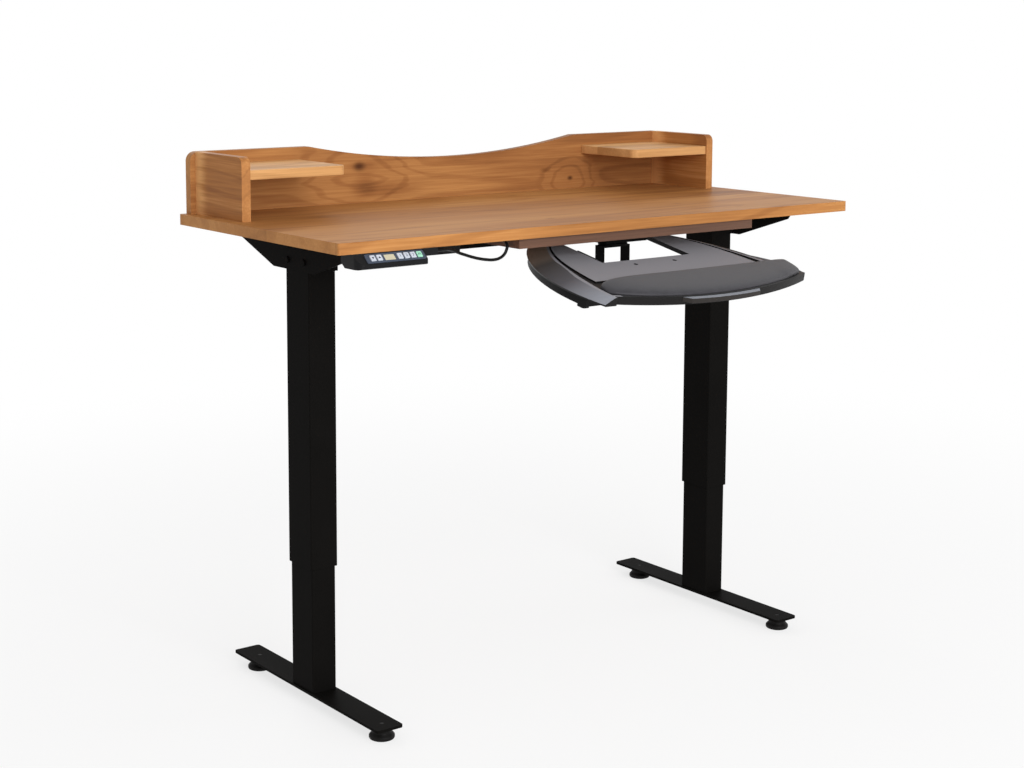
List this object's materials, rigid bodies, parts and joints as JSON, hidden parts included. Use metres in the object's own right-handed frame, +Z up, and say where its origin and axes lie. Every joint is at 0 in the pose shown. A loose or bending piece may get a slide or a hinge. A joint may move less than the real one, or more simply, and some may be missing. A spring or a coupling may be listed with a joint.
{
  "type": "standing desk",
  "caption": "Height-adjustable desk with a low wooden hutch, a push-button handset and an articulated keyboard tray on two telescopic steel columns with levelling feet.",
  "frame": {"origin": "on the floor, under the middle of the whole outline in plan", "axes": "+X along the desk to the user's right, +Y to the desk's back, +Z up"},
  "size_m": [1.219, 0.7845, 1.006],
  "materials": {
    "cherry_top": "satin lacquer on edge-glued cherry",
    "cherry_hutch": "satin lacquer on cherry boards",
    "stained_board": "dark red-brown stain",
    "frame_coat": "fine-textured black powder coat",
    "zinc_steel": "zinc plated",
    "slide_plastic": "plain moulded",
    "gear_casting": "plain cast",
    "motor_housing": "plain black",
    "glide_body": "matte black moulding over a steel core",
    "box_plastic": "fine spark-eroded texture",
    "handset_plastic": "fine matte texture",
    "handset_panel": "satin slate film",
    "display_window": "flush panel behind the film",
    "button_plastic": "satin",
    "mint_button": "satin",
    "cable_rubber": "satin sheath",
    "clip_plastic": "plain moulded",
    "tray_steel": "black powder coat",
    "tray_plastic": "satin blue-grey skin over a dark floor",
    "palm_leatherette": "fine-grained leatherette",
    "grip_plastic": "satin light grey",
    "knob_plastic": "fine matte texture",
    "mouse_plastic": "fine matte texture"
  },
  "bodies": {
    "left_leg": {"left_inner_column": "frame_coat", "left_foot": "frame_coat", "left_foot_bolts": "zinc_steel", "left_top_bush": "slide_plastic", "left_spindle_nut": "slide_plastic"},
    "right_leg": {"right_inner_column": "frame_coat", "right_foot": "frame_coat", "right_foot_bolts": "zinc_steel", "right_top_bush": "slide_plastic", "right_spindle_nut": "slide_plastic"},
    "top_frame": {"desktop": "cherry_top", "back_board": "cherry_hutch", "left_end_panel": "cherry_hutch", "right_end_panel": "cherry_hutch", "left_shelf": "cherry_hutch", "right_shelf": "cherry_hutch", "track_board": "stained_board", "crossbeam": "frame_coat", "left_side_bracket": "frame_coat", "right_side_bracket": "frame_coat", "left_outer_column": "frame_coat", "right_outer_column": "frame_coat", "guide_bushes": "slide_plastic", "gearboxes": "gear_casting", "left_motor": "motor_housing", "right_motor": "motor_housing", "control_box": "box_plastic", "handset_body": "handset_plastic", "handset_face": "handset_panel", "handset_display": "display_window", "handset_cable": "cable_rubber", "motor_leads": "cable_rubber", "cable_clips": "clip_plastic", "wood_screws": "zinc_steel", "column_bolts": "zinc_steel", "track": "tray_steel"},
    "left_spindle": {"left_spindle": "zinc_steel"},
    "right_spindle": {"right_spindle": "zinc_steel"},
    "left_front_glide": {"left_front_glide": "glide_body"},
    "left_back_glide": {"left_back_glide": "glide_body"},
    "right_front_glide": {"right_front_glide": "glide_body"},
    "right_back_glide": {"right_back_glide": "glide_body"},
    "down_button": {"down_button": "button_plastic"},
    "up_button": {"up_button": "button_plastic"},
    "preset_1_button": {"preset_1_button": "button_plastic"},
    "preset_2_button": {"preset_2_button": "button_plastic"},
    "preset_3_button": {"preset_3_button": "button_plastic"},
    "memory_button": {"memory_button": "mint_button"},
    "carriage": {"carriage": "tray_steel"},
    "swivel": {"swivel_bracket": "tray_steel"},
    "lift_arms": {"lift_arms": "tray_steel"},
    "tilt_head": {"tilt_head": "tray_steel"},
    "platform": {"tilt_plate": "tray_steel", "platform_screws": "zinc_steel", "keyboard_platform": "tray_plastic", "palm_rest": "palm_leatherette", "lip_grip": "grip_plastic", "mouse_pivot": "tray_steel"},
    "lock_knob": {"lock_knob": "knob_plastic"},
    "mouse_tray": {"mouse_tray": "mouse_plastic"}
  },
  "joints": [
    {"name": "left_lift", "type": "slide", "parent": "left_leg", "child": "top_frame", "axis": [0, 0, 1], "range_m": [-0.21, 0.25]},
    {"name": "right_lift", "type": "slide", "parent": "top_frame", "child": "right_leg", "axis": [0, 0, -1], "range_m": [-0.21, 0.25]},
    {"name": "left_spindle_turn", "type": "hinge", "parent": "top_frame", "child": "left_spindle", "pos_m": [-0.493, 0.11275, 0.6], "axis": [0, 0, 1], "continuous": true},
    {"name": "right_spindle_turn", "type": "hinge", "parent": "top_frame", "child": "right_spindle", "pos_m": [0.493, 0.11275, 0.6], "axis": [0, 0, 1], "continuous": true},
    {"name": "left_front_glide_level", "type": "slide", "parent": "left_leg", "child": "left_front_glide", "axis": [0, 0, -1], "range_m": [0, 0.008]},
    {"name": "left_back_glide_level", "type": "slide", "parent": "left_leg", "child": "left_back_glide", "axis": [0, 0, -1], "range_m": [0, 0.008]},
    {"name": "right_front_glide_level", "type": "slide", "parent": "right_leg", "child": "right_front_glide", "axis": [0, 0, -1], "range_m": [0, 0.008]},
    {"name": "right_back_glide_level", "type": "slide", "parent": "right_leg", "child": "right_back_glide", "axis": [0, 0, -1], "range_m": [0, 0.008]},
    {"name": "down_button_press", "type": "slide", "parent": "top_frame", "child": "down_button", "axis": [0, 0.682, -0.7314], "range_m": [0, 0.0012], "stiffness_N_per_m": 500, "springref_m": -0.001},
    {"name": "up_button_press", "type": "slide", "parent": "top_frame", "child": "up_button", "axis": [0, 0.682, -0.7314], "range_m": [0, 0.0012], "stiffness_N_per_m": 500, "springref_m": -0.001},
    {"name": "preset_1_button_press", "type": "slide", "parent": "top_frame", "child": "preset_1_button", "axis": [0, 0.682, -0.7314], "range_m": [0, 0.0012], "stiffness_N_per_m": 500, "springref_m": -0.001},
    {"name": "preset_2_button_press", "type": "slide", "parent": "top_frame", "child": "preset_2_button", "axis": [0, 0.682, -0.7314], "range_m": [0, 0.0012], "stiffness_N_per_m": 500, "springref_m": -0.001},
    {"name": "preset_3_button_press", "type": "slide", "parent": "top_frame", "child": "preset_3_button", "axis": [0, 0.682, -0.7314], "range_m": [0, 0.0012], "stiffness_N_per_m": 500, "springref_m": -0.001},
    {"name": "memory_button_press", "type": "slide", "parent": "top_frame", "child": "memory_button", "axis": [0, 0.682, -0.7314], "range_m": [0, 0.0012], "stiffness_N_per_m": 500, "springref_m": -0.001},
    {"name": "tray_slide", "type": "slide", "parent": "top_frame", "child": "carriage", "axis": [0, 1, 0], "range_m": [0, 0.08]},
    {"name": "tray_swivel", "type": "hinge", "parent": "carriage", "child": "swivel", "pos_m": [0.06, -0.07725, 0.835], "axis": [0, 0, 1], "range_deg": [-25, 25]},
    {"name": "arm_lift", "type": "hinge", "parent": "swivel", "child": "lift_arms", "pos_m": [0.06, -0.07725, 0.79], "axis": [1, 0, 0], "range_deg": [0, 50]},
    {"name": "head_level", "type": "hinge", "parent": "lift_arms", "child": "tilt_head", "pos_m": [0.06, -0.17725, 0.78223], "axis": [1, 0, 0], "range_deg": [-50, 0]},
    {"name": "platform_tilt", "type": "hinge", "parent": "tilt_head", "child": "platform", "pos_m": [0.06, -0.17725, 0.78223], "axis": [1, 0, 0], "range_deg": [-12, 0]},
    {"name": "lock_knob_turn", "type": "hinge", "parent": "lift_arms", "child": "lock_knob", "pos_m": [0.06, -0.17725, 0.78223], "axis": [1, 0, 0], "continuous": true},
    {"name": "mouse_tray_swing", "type": "hinge", "parent": "platform", "child": "mouse_tray", "pos_m": [-0.024, -0.27855, 0.7737], "axis": [0, -0.1908, 0.9816], "range_deg": [0, 75]}
  ],
  "couplings": [
    {"joint": "right_lift", "follows": "left_lift", "ratio": 1},
    {"joint": "left_spindle_turn", "follows": "left_lift", "rad_per_m": 785.4},
    {"joint": "right_spindle_turn", "follows": "left_lift", "rad_per_m": 785.4},
    {"joint": "head_level", "follows": "arm_lift", "ratio": -1}
  ]
}
